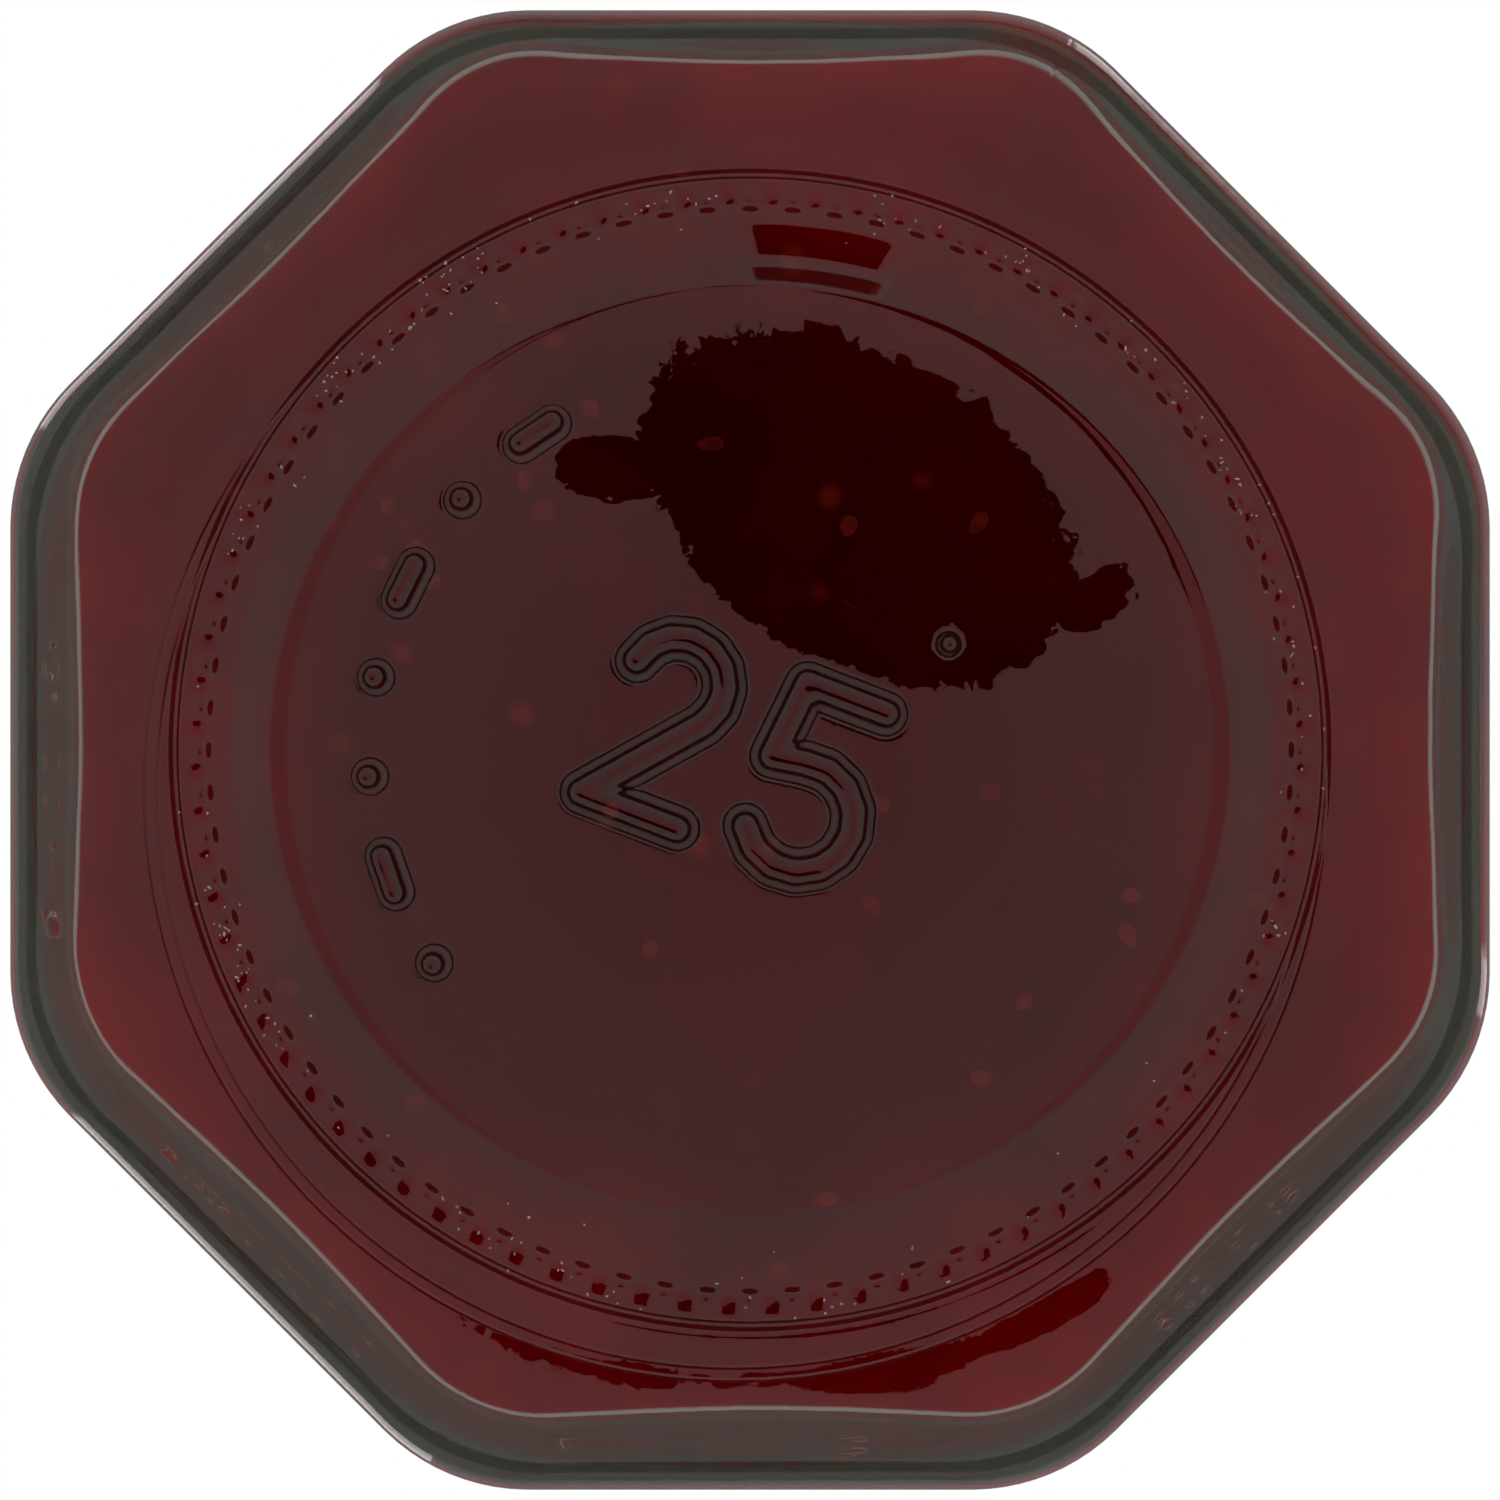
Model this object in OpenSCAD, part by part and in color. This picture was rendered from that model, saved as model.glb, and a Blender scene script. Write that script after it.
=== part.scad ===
// Eight-sided glass jam jar, filled with red berry jam and shut with a twist-off metal lid.
// Millimetres. The axis of the jar is Z, and its foot stands on Z = 0.

/* [Glass body] */
// Width across two opposite flat sides
body_flats = 70; // [66:1:84]
// Outside radius of the eight upright corners
corner_r = 9.6; // [6:0.2:12]
// Height from the foot to the top of the upright walls
body_h = 70; // [50:1:100]
// Height in which the shoulder turns in to the round neck
shoulder_h = 10; // [7:0.5:14]
// Height of the heel's curve under the walls
heel_h = 3; // [2:0.5:8]
// How far the heel's curve reaches in under each flat side
heel_in = 2.4; // [1.6:0.2:5]
// Glass at the middle of each flat side, at the top of the walls
flat_wall = 2.4; // [2.2:0.1:3.2]
// Glass at each upright corner, at the top of the walls
corner_wall = 1.7; // [1.6:0.1:2.2]
// How much thicker the walls are at their foot
foot_extra = 0.6; // [0.4:0.1:1.2]
// How far the foot of the hollow lies off the axis along X, which leaves one wall thicker than the other
hollow_shift_x = 0.3; // [-0.9:0.1:0.9]
// How far the foot of the hollow lies off the axis along Y
hollow_shift_y = -0.7; // [-0.9:0.1:0.9]

/* [Foot] */
// How far the round mould plate that forms the foot lies inside the flat sides
plate_inset = 7.9; // [7:0.1:10]
// Height of the mould plate's edge above the table
plate_z = 0.5; // [0.3:0.1:0.8]
// How far the middle of the ring that the jar stands on lies inside the plate's edge
ring_inset = 1.6; // [1.3:0.1:2.2]
// Width of the flat that touches the table
ring_w = 1.0; // [0.6:0.1:1.4]
// How far the rim of the shallow dish lies inside the middle of the ring
dish_inset = 3.5; // [2:0.1:6]
// Height of the rim of the dish above the table
dish_z = 0.7; // [0.6:0.1:1.4]
// Height of the middle of the dish above the table
push_up = 2.2; // [1.6:0.1:3]
// Glass between the dish and the jam, at the middle
base_glass = 3.8; // [3.2:0.1:6]
// Size of the curve in which the floor of the hollow turns up into the walls
floor_turn = 3.5; // [3:0.5:8]

/* [Neck and mouth] */
// Outside diameter of the neck
neck_d = 60; // [54:0.5:61]
// Height of the neck, from the shoulder to the sealing rim
neck_h = 15; // [14:0.5:18]
// Glass of the neck and of the sealing rim
neck_wall = 3; // [2.4:0.1:4]
// Rounding of both edges of the sealing rim
rim_round = 0.8; // [0.4:0.1:1]
// How far the bead under the lid stands out from the neck
bead_out = 1.0; // [0.4:0.1:1.4]
// Height of the bead
bead_h = 1.4; // [1:0.1:1.8]
// Number of thread ridges, and of lugs in the lid
lugs = 4; // [3:1:6]
// Angle that one thread ridge covers
lug_sweep = 50; // [30:2:56]
// How far a thread ridge stands out from the neck
lug_out = 1.3; // [0.8:0.1:1.4]
// Height of a thread ridge
lug_h = 1.6; // [1.2:0.1:2]

/* [Lid] */
// Clearance between the thread ridges and the skirt of the lid
skirt_gap = 0.5; // [0.3:0.1:0.8]
// Height of the lid from its rolled edge to its flat rim
lid_h = 10.6; // [10:0.2:11.6]
// Thickness of the metal
lid_sheet = 0.4; // [0.3:0.05:0.5]
// Radius of the rolled lower edge
curl_r = 1.0; // [0.8:0.05:1.2]
// Clearance between the sunk panel of the lid and the mouth
panel_gap = 0.8; // [0.4:0.1:3]
// Depth of the sunk panel
panel_sink = 1.1; // [0.6:0.1:1.4]
// Diameter of the safety button in the middle of the panel
button_d = 17; // [12:0.5:24]
// Height of the safety button
button_h = 0.6; // [0.3:0.1:0.8]
// Clearance between a lug of the lid and the thread ridge above it
lug_gap = 0.2; // [0.1:0.05:0.4]
// Angle that one lug of the lid covers
lid_lug_sweep = 16; // [10:1:24]

/* [Jam] */
// Free height between the jam and the sealing rim
head_space = 12; // [10:0.5:14]
// Clearance between the jam and the glass
fill_gap = 0.1; // [0.05:0.05:0.3]

/* [Hidden] */
$fn = 96;

half_side = 22.5;
outer_a = body_flats / 2;
mean_wall = (flat_wall + corner_wall) / 2;
neck_z = body_h + shoulder_h;
glass_h = neck_z + neck_h;
jam_z = glass_h - head_space;
neck_r = neck_d / 2;
mouth_r = neck_r - neck_wall;
plate_r = outer_a - plate_inset;
ring_r = plate_r - ring_inset;
dish_r = ring_r - dish_inset;
floor_z = push_up + base_glass;
lid_top = glass_h + lid_sheet;
lid_low = lid_top - lid_h;
skirt_r = neck_r + lug_out + skirt_gap + lid_sheet;
lid_lug_z = lid_low + curl_r / 2;
lid_lug_h = 2 * lid_sheet;
ridge_z = lid_lug_z + lid_lug_h + lug_gap;

// Steps in each curved stretch of the glass
corner_steps = 4;
flat_steps = 4;
heel_steps = 5;
floor_steps = 6;
shoulder_steps = 6;

// Radius, at an angle, of an eight-sided outline with flats at distance a and corners of radius c.
// An outline whose corner radius equals a is a circle.
function off_flat(angle) = (angle + 360 + half_side) % 45 - half_side;
function outline(angle, a, c) =
    let (t = abs(off_flat(angle)), m = (a - c) / cos(half_side), s = half_side - t)
    a * tan(t) <= (a - c) * tan(half_side)
        ? a / cos(t)
        : m * cos(s) + sqrt(max(c * c - pow(m * sin(s), 2), 0));

// Angles of the upright columns of points: some round each corner and some along each flat side.
function corner_angle(j) =
    let (turn = 45 * j / corner_steps, m = (outer_a - corner_r) / cos(half_side))
    atan2(m * sin(half_side) + corner_r * sin(turn), m * cos(half_side) + corner_r * cos(turn));
function flat_angle(i) =
    45 + atan((outer_a - corner_r) * tan(half_side) * (2 * i / flat_steps - 1) / outer_a);
columns = [for (side = [0:7]) each concat(
    [for (j = [0:corner_steps]) 45 * side + corner_angle(j)],
    [for (i = [1:flat_steps - 1]) 45 * side + flat_angle(i)])];

// A row of points at height z, as an eight-sided outline or as a circle.
function sided_row(z, a, c) =
    [for (t = columns) let (r = outline(t, a, c)) [r * cos(t), r * sin(t), z]];
function round_row(z, r) = sided_row(z, r, r);

// Height of the dish at a share of its radius.
function dish_height(share) = push_up - (push_up - dish_z) * share * share;

// Outside of the glass, from the middle of the dish, out over the foot, and up to the rim.
dish_rows = [for (s = [0.3, 0.6, 0.85, 1]) round_row(dish_height(s), dish_r * s)];
ring_in = ring_r - ring_w / 2;
ring_out = ring_r + ring_w / 2;
foot_rows = [
    round_row(dish_z / 3, (dish_r + 3 * ring_in) / 4),
    round_row(0, ring_in),
    round_row(0, ring_out),
    round_row(plate_z * 0.6, plate_r - plate_z * 0.4),
    round_row(plate_z, plate_r)];
heel_z = 2 * plate_z;
heel_a = outer_a - heel_in;
heel_c = (corner_r + heel_a) / 2;
heel_rows = [for (i = [0:heel_steps]) let (t = 90 * i / heel_steps)
    sided_row(heel_z + heel_h * (1 - cos(t)),
              heel_a + heel_in * sin(t),
              heel_c + (corner_r - heel_c) * sin(t))];
shoulder_rows = [for (i = [0:shoulder_steps]) let (t = 90 * i / shoulder_steps)
    sided_row(body_h + shoulder_h * sin(t),
              neck_r + (outer_a - neck_r) * cos(t),
              neck_r + (corner_r - neck_r) * cos(t))];

// The neck has a bead all round and, above it, the ridges of the thread, each over its own angle.
function ridge_share(angle) = (angle + 360) % (360 / lugs) <= lug_sweep ? 1 : 0;
function ridge_row(z) =
    [for (t = columns) let (r = neck_r + lug_out * ridge_share(t)) [r * cos(t), r * sin(t), z]];
neck_rows = [
    round_row(neck_z + bead_h / 2, neck_r),
    round_row(neck_z + bead_h, neck_r + bead_out),
    round_row(neck_z + bead_h * 3 / 2, neck_r),
    round_row(ridge_z, neck_r),
    ridge_row(ridge_z + lug_h * 0.35),
    ridge_row(ridge_z + lug_h * 0.65),
    round_row(ridge_z + lug_h, neck_r),
    round_row(glass_h - rim_round, neck_r),
    round_row(glass_h, neck_r - rim_round)];
outer_rows = concat(dish_rows, foot_rows, heel_rows, shoulder_rows, neck_rows);

// Glass at an angle: thick at the middle of a flat side, thin at a corner, and even where round.
function wall(angle, facet) =
    let (share = (1 + cos(8 * off_flat(angle))) / 2)
    facet * (corner_wall + (flat_wall - corner_wall) * share) + (1 - facet) * mean_wall;

// Rows of the foot of the hollow. turn_in and clear pull a row in from the wall, and share draws it
// to the axis.
function foot_row(z, turn_in, share, clear) =
    [for (t = columns)
        let (r = (outline(t, outer_a, corner_r) - wall(t, 1) - foot_extra - turn_in) * share - clear)
        [hollow_shift_x + r * cos(t), hollow_shift_y + r * sin(t), z]];
function floor_rows(clear) = concat(
    [for (share = [0.3, 0.7]) foot_row(floor_z + clear, floor_turn, share, clear)],
    [for (i = [0:floor_steps]) let (t = 90 * i / floor_steps)
        foot_row(floor_z + clear + floor_turn * (1 - cos(t)), floor_turn * (1 - sin(t)), 1, clear)]);

// Rows of the hollow under the shoulder, from eight-sided at the top of the walls to round at the neck.
function hollow_shoulder_rows(clear) =
    [for (i = [0:shoulder_steps])
        let (t = 90 * i / shoulder_steps, neck_a = mouth_r + mean_wall,
             a = neck_a + (outer_a - neck_a) * cos(t), c = neck_a + (corner_r - neck_a) * cos(t))
        [for (angle = columns) let (r = outline(angle, a, c) - wall(angle, cos(t)) - clear)
            [r * cos(angle), r * sin(angle), body_h + shoulder_h * sin(t) - mean_wall / 2]]];
function hollow_rows(clear) = concat(floor_rows(clear), hollow_shoulder_rows(clear));
function floor_middle(clear) = [hollow_shift_x, hollow_shift_y, floor_z + clear];
function backwards(list) = [for (i = [len(list) - 1:-1:0]) list[i]];

// A closed skin over rows that all run the same way round, shut by a point at each end. Rising and
// falling rows are split along the same diagonal, so that glass and jam lie parallel.
module skin(rows, first, last) {
    n = len(columns);
    points = concat([first], [for (row = rows) each row], [last]);
    end = len(points) - 1;
    last_row = end - n;
    faces = concat(
        [for (j = [0:n - 1]) [0, 1 + j, 1 + (j + 1) % n]],
        [for (i = [0:len(rows) - 2], j = [0:n - 1])
            let (p = 1 + i * n + j, q = 1 + i * n + (j + 1) % n, rising = rows[i + 1][0][2] > rows[i][0][2])
            each rising ? [[p, p + n, q], [q, p + n, q + n]] : [[p, p + n, q + n], [p, q + n, q]]],
        [for (j = [0:n - 1]) [end, last_row + (j + 1) % n, last_row + j]]);
    polyhedron(points = points, faces = faces, convexity = 10);
}

// Glass from the dish, over the outside, round the rim, and down the hollow to its floor.
module glass_jar() {
    rim_rows = [round_row(glass_h, mouth_r + rim_round), round_row(glass_h - rim_round, mouth_r)];
    color([0.75, 0.8, 0.78, 0.5])
        skin(concat(outer_rows, rim_rows, backwards(hollow_rows(0))), [0, 0, push_up], floor_middle(0));
}

// Jam, from the floor of the hollow to a level top in the neck.
module jam() {
    color([0.3, 0.02, 0.03])
        skin(concat(hollow_rows(fill_gap), [round_row(jam_z, mouth_r - fill_gap)]),
             floor_middle(fill_gap), [0, 0, jam_z]);
}

// Half section of the pressed metal: button, sunk panel, flat rim over the glass, and skirt.
module lid_section() {
    panel_r = mouth_r - panel_gap;
    button_r = button_d / 2;
    panel_z = lid_top - panel_sink;
    step = 1;
    slant = lid_sheet * 0.6;
    edge = 1.2;
    polygon([
        [0, panel_z + button_h], [button_r - step, panel_z + button_h], [button_r, panel_z],
        [panel_r - step, panel_z], [panel_r, lid_top], [skirt_r - edge, lid_top],
        [skirt_r, lid_top - edge], [skirt_r, lid_low + curl_r],
        [skirt_r - lid_sheet, lid_low + curl_r], [skirt_r - lid_sheet, lid_top - edge - slant],
        [skirt_r - edge - slant, lid_top - lid_sheet], [panel_r + slant, lid_top - lid_sheet],
        [panel_r - step + slant, panel_z - lid_sheet], [button_r + slant, panel_z - lid_sheet],
        [button_r - step + slant, panel_z + button_h - lid_sheet],
        [0, panel_z + button_h - lid_sheet]]);
    translate([skirt_r, lid_low + curl_r]) circle(r = curl_r, $fn = 32);
}

// Lid with its lugs, which reach in under the middle of each thread ridge.
module lid() {
    lug_in = neck_r + lug_out / 3;
    color([0.75, 0.6, 0.3]) {
        rotate_extrude() lid_section();
        for (i = [0:lugs - 1]) rotate(360 / lugs * i + (lug_sweep - lid_lug_sweep) / 2)
            rotate_extrude(angle = lid_lug_sweep)
                translate([lug_in, lid_lug_z]) square([skirt_r - lug_in, lid_lug_h]);
    }
}

glass_jar();
jam();
lid();
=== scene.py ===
import math
import random

import bpy
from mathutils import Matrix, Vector


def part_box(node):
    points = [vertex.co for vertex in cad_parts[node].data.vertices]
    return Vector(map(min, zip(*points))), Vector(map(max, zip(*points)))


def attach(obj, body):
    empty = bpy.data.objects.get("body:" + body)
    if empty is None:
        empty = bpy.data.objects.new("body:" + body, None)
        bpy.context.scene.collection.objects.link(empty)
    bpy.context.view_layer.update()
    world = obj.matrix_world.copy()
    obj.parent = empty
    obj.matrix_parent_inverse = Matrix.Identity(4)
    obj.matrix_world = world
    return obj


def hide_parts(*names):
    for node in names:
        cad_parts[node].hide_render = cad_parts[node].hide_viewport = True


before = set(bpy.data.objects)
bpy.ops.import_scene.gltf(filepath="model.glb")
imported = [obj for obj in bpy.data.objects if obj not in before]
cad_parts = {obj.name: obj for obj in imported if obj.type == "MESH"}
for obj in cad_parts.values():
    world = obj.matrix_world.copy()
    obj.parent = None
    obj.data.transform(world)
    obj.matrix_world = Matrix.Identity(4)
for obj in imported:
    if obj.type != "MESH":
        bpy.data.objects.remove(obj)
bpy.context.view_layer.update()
MM = 0.001

# ---------------------------------------------------------------------------------------------
# Camera. A long lens looks straight up at the foot of the jar, along its axis, with +X to the
# right and -Y upwards. It stands so that the eight sides just fill the frame.
# ---------------------------------------------------------------------------------------------
half_flats = Vector(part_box("glass_jar")[1]).x
camera_distance = 600 * MM
widest_z = 6 * MM
frame_margin = 1.019
half_sensor = 18

bpy.ops.object.camera_add(location=(0, 0, -camera_distance), rotation=(math.pi, 0, 0))
camera = bpy.context.object
camera.name = "camera"
camera.data.sensor_width = 2 * half_sensor
camera.data.lens = half_sensor * (camera_distance + widest_z) / (half_flats * frame_margin)
camera.data.clip_start = 0.01
camera.data.clip_end = 20
bpy.context.scene.camera = camera

# ---------------------------------------------------------------------------------------------
# Glass. A pressed and blown jar of clear, faintly green flint glass. The foot is a round mould
# plate with a stippled ring, a shallow dish and raised marks; the body has eight flat sides with
# round corners; the neck is round, with a bead and the ridges of the thread.
# ---------------------------------------------------------------------------------------------
WALL_COLUMNS = 320
FOOT_COLUMNS = 640
corner_radius = 9.6 * MM
half_side = math.radians(22.5)
plate_radius = 27.1 * MM
neck_radius = 30 * MM
mouth_radius = 27 * MM


def nothing_selected():
    if bpy.context.object and bpy.context.object.mode == "EDIT":
        bpy.ops.object.mode_set(mode="OBJECT")
    bpy.ops.object.select_all(action="DESELECT")


def finish_piece(piece, slot_name, material, *replaced):
    """Rides a piece on the jar, with its material and the CAD nodes it stands for; slot_name is not used."""
    nothing_selected()
    piece.select_set(True)
    bpy.context.view_layer.objects.active = piece
    bpy.ops.object.transform_apply(location=True, rotation=True, scale=True)
    piece.data.materials.clear()
    piece.data.materials.append(material)
    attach(piece, "root")
    if replaced:
        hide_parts(*replaced)


def outline(angle, flat, corner):
    """Radius at an angle of an eight-sided outline; with corner equal to flat it is a circle."""
    off_flat = abs((angle + half_side) % (2 * half_side) - half_side)
    if flat * math.tan(off_flat) <= (flat - corner) * math.tan(half_side):
        return flat / math.cos(off_flat)
    middle = (flat - corner) / math.cos(half_side)
    turn = half_side - off_flat
    return middle * math.cos(turn) + math.sqrt(max(corner ** 2 - (middle * math.sin(turn)) ** 2, 0))


def curve(points, steps):
    """Points along a cubic curve, without its first point."""
    found = []
    for i in range(1, steps + 1):
        t = i / steps
        share = ((1 - t) ** 3, 3 * t * (1 - t) ** 2, 3 * t * t * (1 - t), t ** 3)
        found.append(tuple(sum(s * p[k] for s, p in zip(share, points)) for k in range(len(points[0]))))
    return found


def extrude_rows(name, rows, columns, point):
    """A skin made by extruding a circle row by row; point(row, angle) then places every vertex."""
    nothing_selected()
    bpy.ops.mesh.primitive_circle_add(vertices=columns, radius=1, location=(0, 0, 0))
    piece = bpy.context.object
    piece.name = name
    bpy.ops.object.mode_set(mode="EDIT")
    bpy.ops.mesh.select_all(action="SELECT")
    for _ in rows[1:]:
        bpy.ops.mesh.extrude_edges_move(TRANSFORM_OT_translate={"value": (0, 0, 1)})
    bpy.ops.object.mode_set(mode="OBJECT")
    for vertex in piece.data.vertices:
        row = rows[round(vertex.co.z)]
        vertex.co = point(row, math.atan2(vertex.co.y, vertex.co.x))
    return piece


def mm_rows(rows):
    return [tuple(value * MM for value in row) for row in rows]


# Rows of the outside, as (height, flat distance, corner radius), from the parting line up.
parting_rows = mm_rows([(0.260, 27.22, 27.22), (0.335, 27.40, 27.40), (0.350, 27.5, 27.5)])

sole_start = 27.5
sole_width = 4.9
sole_low = 0.346
sole_slope = 0.1355
bell_area = 0.8862  # half the square root of pi
# Rings where the sole lies flatter, in mm: (middle, half width, slope that is taken off).
flatter_rings = ((27.55, 0.3, 0.08), (29.75, 1.6, 0.08))


def sole_row(share):
    """A row, in mm, of the nearly flat glass between the foot plate and the heel."""
    flat = sole_start + sole_width * share
    height = sole_low + sole_slope * (flat - sole_start)
    for middle, wide, less in flatter_rings:
        height -= less * wide * bell_area * (math.erf((flat - middle) / wide)
                                             - math.erf((sole_start - middle) / wide))
    return (height, flat, sole_start + (flat - sole_start) * 0.5 - 11.5 * share ** 2)


sole_rows = mm_rows([sole_row(i / 24) for i in range(1, 25)])
heel_curve = [(sole_row(1)[0], 32.4, sole_row(1)[2]), (0.93, 34.2, 13.0), (1.35, 35.0, 10.0),
              (3.0, 35.0, 9.6)]
heel_rows = mm_rows(curve(heel_curve, 16))
body_rows = mm_rows([(z, 35.0, 9.6) for z in (5, 7, 12, 20, 30, 40, 50, 60, 66, 70)])
shoulder_curve = [(70, 35.0, 9.6), (76.4, 35.0, 10), (77.4, 30.0, 29.0), (81, 30.0, 30.0)]
shoulder_rows = mm_rows(curve(shoulder_curve, 20))
bead_rows = mm_rows([(81.4 + 0.7 * (1 - math.cos(t)), 30 + 0.9 * math.sin(t), 30 + 0.9 * math.sin(t))
                     for t in [math.pi * i / 8 for i in range(9)]])
ridge_low = 86.3 * MM
ridge_height = 1.6 * MM
ridge_out = 1.3 * MM
ridge_rows = [(ridge_low + ridge_height * i / 6, neck_radius, neck_radius) for i in range(7)]
rim_rows = mm_rows([(94.2, 30, 30), (94.45, 29.95, 29.95), (94.76, 29.76, 29.76), (94.95, 29.45, 29.45),
                    (95, 29.2, 29.2), (95, 28.5, 28.5), (95, 27.8, 27.8), (94.95, 27.55, 27.55),
                    (94.76, 27.24, 27.24), (94.45, 27.05, 27.05), (94.2, 27, 27)])
outside_rows = (parting_rows + sole_rows + heel_rows + body_rows + shoulder_rows + bead_rows + ridge_rows
                + rim_rows)

# The wall is thinner at the corners than at the flats, and thicker all round near the foot.
flat_wall = 2.4 * MM
corner_wall = 1.7 * MM
foot_extra = 0.6 * MM
corner_foot = 0.4 * MM
hollow_shift = (0.3 * MM, -0.7 * MM)
floor_z = 6.0 * MM
floor_turn = 3.5 * MM
wall_top = 68.9 * MM
lug_count = 4
lug_sweep = math.radians(50)
lug_ends = math.radians(4)
lean_angle = math.radians(165)
lean_slope = 0.048


def wall(angle, facet, foot):
    share = (1 + math.cos(8 * angle)) / 2
    even = (flat_wall + corner_wall) / 2
    thick = corner_wall + (flat_wall - corner_wall) * share + corner_foot * foot * (1 - share)
    return facet * thick + (1 - facet) * even


def hollow_point(row, angle, clear=0):
    z, flat, corner, facet, foot, turn_in, share = row
    radius = outline(angle, flat, corner) - wall(angle, facet, foot) - foot_extra * foot - turn_in
    radius = radius * share - clear
    return Vector((hollow_shift[0] * foot + radius * math.cos(angle),
                   hollow_shift[1] * foot + radius * math.sin(angle), z))


def hollow_rows():
    """Rows from the neck down to the floor of the hollow, as (height, flat distance, corner radius,
    share of the eight sides, share of the foot, turn-in at the floor, share of the radius)."""
    even = (flat_wall + corner_wall) / 2
    neck = mouth_radius + even
    top = (80 * MM, neck, neck, 0)
    rows = []
    shoulder = [(80 * MM, neck, neck, 0), (76 * MM, neck, 28 * MM, 0.05),
                (75.4 * MM, half_flats, 10 * MM, 1), (wall_top, half_flats, corner_radius, 1)]
    for row in [top] + curve(shoulder, 16):
        rows.append(row + (0, 0, 1))
    straight = 8
    turn_top = floor_z + floor_turn
    for i in range(1, straight + 1):
        t = i / straight
        z = wall_top + (turn_top - wall_top) * t
        rows.append((z, half_flats, corner_radius, 1, t, 0, 1))
    for i in range(1, 11):
        t = math.pi / 2 * i / 10
        rows.append((turn_top - floor_turn * math.sin(t), half_flats, corner_radius, 1, 1,
                     floor_turn * (1 - math.cos(t)), 1))
    for share in (0.75, 0.5, 0.25, 0.05):
        rows.append((floor_z, half_flats, corner_radius, 1, 1, floor_turn, share))
    return rows


def glass_point(row, angle):
    if len(row) > 3:
        return hollow_point(row, angle)
    z, flat, corner = row
    radius = outline(angle, flat, corner)
    # The glass between the plate and the heel rises a little more on one side.
    if sole_start * MM < flat and z < 3 * MM:
        lean = lean_slope * max(0, math.cos(angle - lean_angle))
        z += lean * min(flat - sole_start * MM, sole_width * MM) * min(1, (3 * MM - z) / (2.2 * MM))
    along = angle % (2 * math.pi / lug_count)
    up = (z - ridge_low) / ridge_height
    if 0 < up < 1 and along < lug_sweep:
        ends = min(1, min(along, lug_sweep - along) / lug_ends)
        radius += ridge_out * math.sin(math.pi * up) ** 0.7 * ends
    return Vector((radius * math.cos(angle), radius * math.sin(angle), z))


# The foot plate: (radius, height) of its section, from the parting line in to the dish.
ring_radius = 25.85 * MM
dish_radius = 21.9 * MM
dish_z = 0.83 * MM
push_up = 2.2 * MM
stipple_count = 80
stipple_depth = 0.10 * MM
stipple_in = 0.6 * MM
stipple_out = 0.75 * MM
dent_angle = math.radians(-82)
dent_slope = 0.09
dish_wider = 0.7 * MM


def dish_height(radius):
    return push_up - (push_up - dish_z) * (radius / dish_radius) ** 2


section_in = [(27.1, 0.235), (26.98, 0.21), (26.86, 0.16)]
section_in += curve([(26.86, 0.16), (26.65, 0.14), (26.4, 0.12), (26.1, 0.12)], 6)
section_in += curve([(26.1, 0.12), (25.8, 0.12), (25.6, 0.15), (25.4, 0.19)], 9)
section_in += [(25.3 - 0.1 * i, 0.208 + 0.018 * i) for i in range(5)]
section_in += [(24.6, 0.334), (24.2, 0.406), (23.8, 0.478), (23.4, 0.55), (23.1, 0.604), (22.7, 0.676),
               (22.4, 0.73)]
section_in += [(22.14, 0.776), (22.06, 0.800), (21.98, 0.815), (21.9, 0.83)]
foot_section = [(r * MM, z * MM) for r, z in section_in]


def foot_point(row, angle):
    radius, z = row
    go = radius - ring_radius
    across = max(1 - (go / (stipple_out if go > 0 else stipple_in)) ** 2, 0)
    z -= stipple_depth * across ** 2 * (0.5 + 0.5 * math.cos(stipple_count * angle)) ** 1.5
    # A flat spot in the slope between the ring and the dish.
    off = (angle - dent_angle + math.pi) % (2 * math.pi) - math.pi
    inside = max(0, min(1, 3.2 - abs(off) / math.radians(3.1)))
    flatter = min(24.9 * MM - radius, 1.8 * (radius - 22.14 * MM))
    z -= dent_slope * max(0, flatter) * inside * inside * (3 - 2 * inside)
    # The dish is a little wider across than along.
    radius += dish_wider * min(1, max(0, (24.6 * MM - radius) / (2.3 * MM))) * math.cos(angle) ** 2
    return Vector((radius * math.cos(angle), radius * math.sin(angle), z))


# The raised marks in the dish: two plain numerals, small pips and bars, and one glass drop.
mark_out = 0.42 * MM
stroke_half = 0.95 * MM
numeral_height = 8.6 * MM
numeral_step = 7.6 * MM
numeral_lean = math.radians(21)
numeral_middle = Vector((-0.6 * MM, 0.2 * MM))
right = Vector((math.cos(numeral_lean), math.sin(numeral_lean)))
up = Vector((math.sin(numeral_lean), -math.cos(numeral_lean)))


def arc(x, y, radius, start, end, steps):
    turns = [math.radians(start + (end - start) * i / steps) for i in range(steps + 1)]
    return [(x + radius * math.cos(t), y + radius * math.sin(t)) for t in turns]


two = arc(0, 0.24, 0.26, 170, -35, 8) + [(-0.28, -0.5), (0.28, -0.5)]
five = [(0.24, 0.5), (-0.22, 0.5), (-0.26, 0.06)] + arc(0, -0.2, 0.3, 105, -150, 10)


def placed(stroke, shift):
    return [numeral_middle + right * (x * numeral_height + shift) + up * (y * numeral_height)
            for x, y in stroke]


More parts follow.
